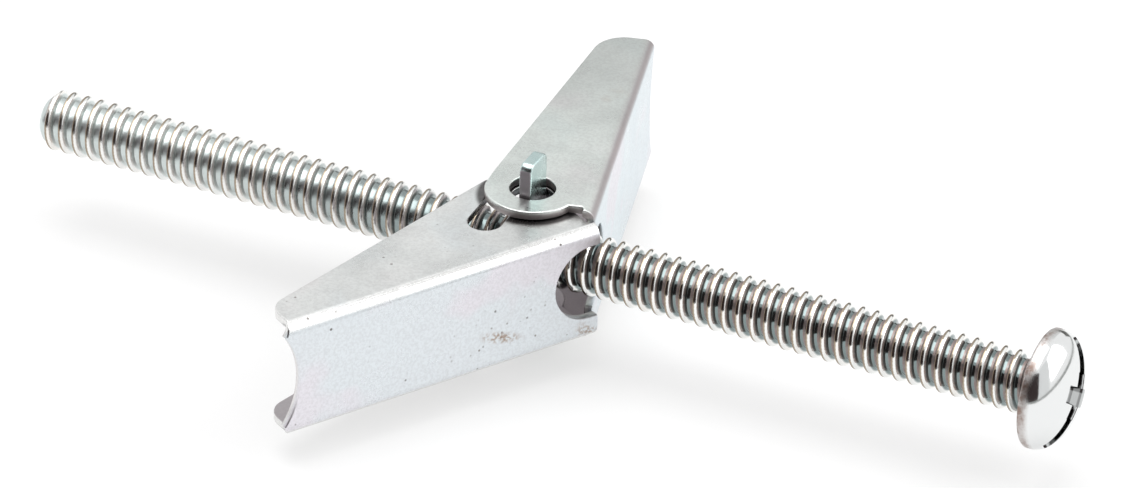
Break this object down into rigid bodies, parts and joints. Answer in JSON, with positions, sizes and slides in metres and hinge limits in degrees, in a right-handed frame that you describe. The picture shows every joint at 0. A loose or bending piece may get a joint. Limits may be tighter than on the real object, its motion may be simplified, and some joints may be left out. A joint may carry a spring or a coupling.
{
  "type": "spring toggle bolt",
  "caption": "Long round-headed machine screw with a sprung, folding sheet-metal toggle for fixing through a hollow wall.",
  "frame": {"origin": "middle of the bottom of the part's box, below the screw, at the foot of the nut's lower ear", "axes": "+X along the screw towards its head; +Z along the wings' hinge, upwards"},
  "size_m": [0.0782, 0.0456, 0.0145],
  "materials": {
    "screw_steel": "bright zinc plate",
    "nut_steel": "bright zinc plate",
    "wing_steel": "satin zinc plate",
    "spring_steel": "plain spring wire"
  },
  "bodies": {
    "screw": {"screw": "screw_steel"},
    "nut": {"trunnion_nut": "nut_steel", "torsion_spring": "spring_steel"},
    "inner_wing": {"inner_wing": "wing_steel"},
    "outer_wing": {"outer_wing": "wing_steel"}
  },
  "joints": [
    {"name": "nut_travel", "type": "slide", "parent": "screw", "child": "nut", "axis": [1, 0, 0], "range_m": [-0.03492, 0.03175]},
    {"name": "inner_wing_fold", "type": "hinge", "parent": "nut", "child": "inner_wing", "pos_m": [-0.00178, 0.00038, 0.00723], "axis": [0, 0, -1], "range_deg": [0, 59], "stiffness_Nm_per_rad": 0.004, "springref_deg": -89.95, "deforming": ["torsion_spring"]},
    {"name": "outer_wing_fold", "type": "hinge", "parent": "nut", "child": "outer_wing", "pos_m": [-0.00178, 0.00038, 0.00723], "axis": [0, 0, 1], "range_deg": [0, 74.5], "stiffness_Nm_per_rad": 0.004, "springref_deg": -89.95, "deforming": ["torsion_spring"]}
  ]
}
